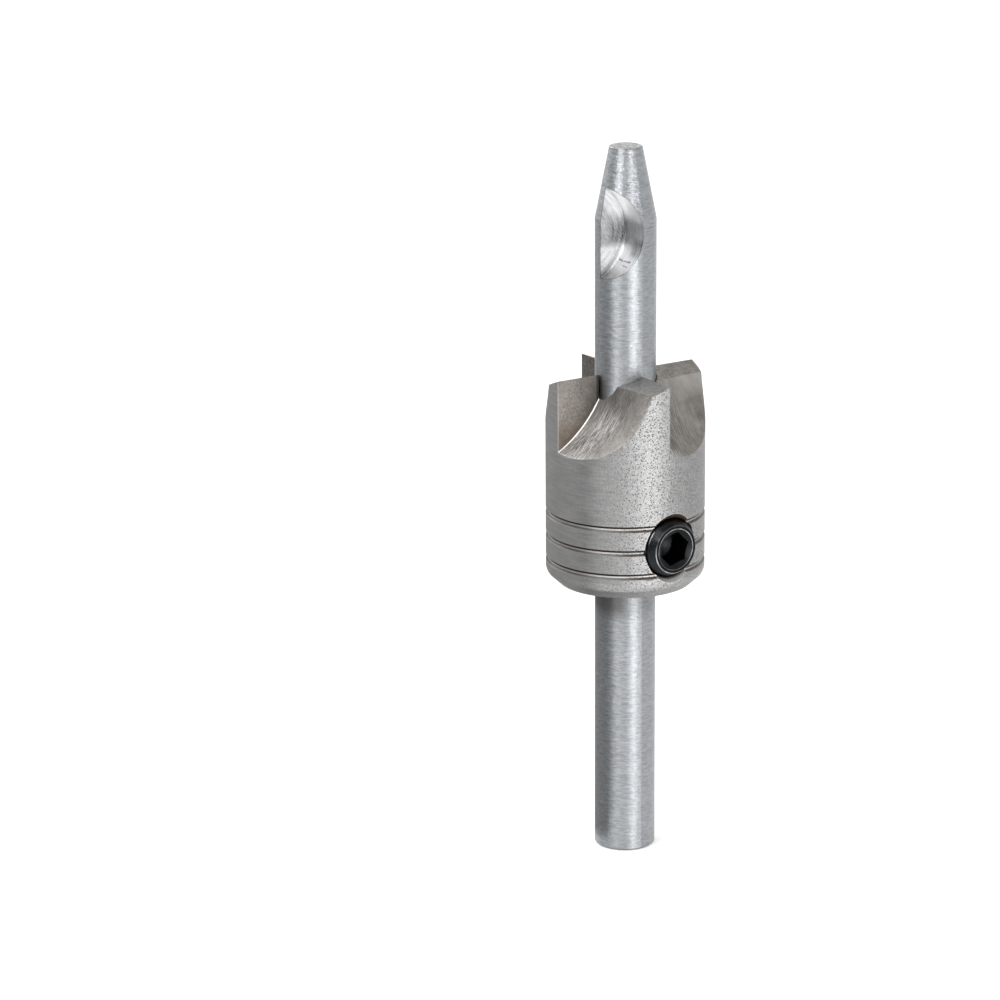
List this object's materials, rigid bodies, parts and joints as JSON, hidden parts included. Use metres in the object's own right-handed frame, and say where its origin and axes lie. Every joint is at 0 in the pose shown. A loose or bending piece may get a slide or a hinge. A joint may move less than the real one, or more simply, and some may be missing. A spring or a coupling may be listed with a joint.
{
  "type": "counterbore cutter",
  "caption": "Piloted counterbore cutter: a toothed cutter head held by a set screw on a round steel shaft that is shank, arbor and tapered pilot.",
  "frame": {"origin": "centre of the shank's end face, on which the cutter stands", "axes": "+Z along the tool's axis from the shank to the tip, +X along one tooth's cutting face, from the shaft outwards. The set screw's axis is turned 3 degrees from it, towards +Y"},
  "size_m": [0.0216, 0.0208, 0.095],
  "materials": {
    "shaft_steel": "fine turned, cool grey",
    "head_steel": "turned and milled, warm grey, lightly pitted",
    "black_oxide": "black oxide, semi-gloss"
  },
  "bodies": {
    "root": {"shaft": "shaft_steel", "cutter_head": "head_steel", "set_screw": "black_oxide"}
  },
  "joints": []
}
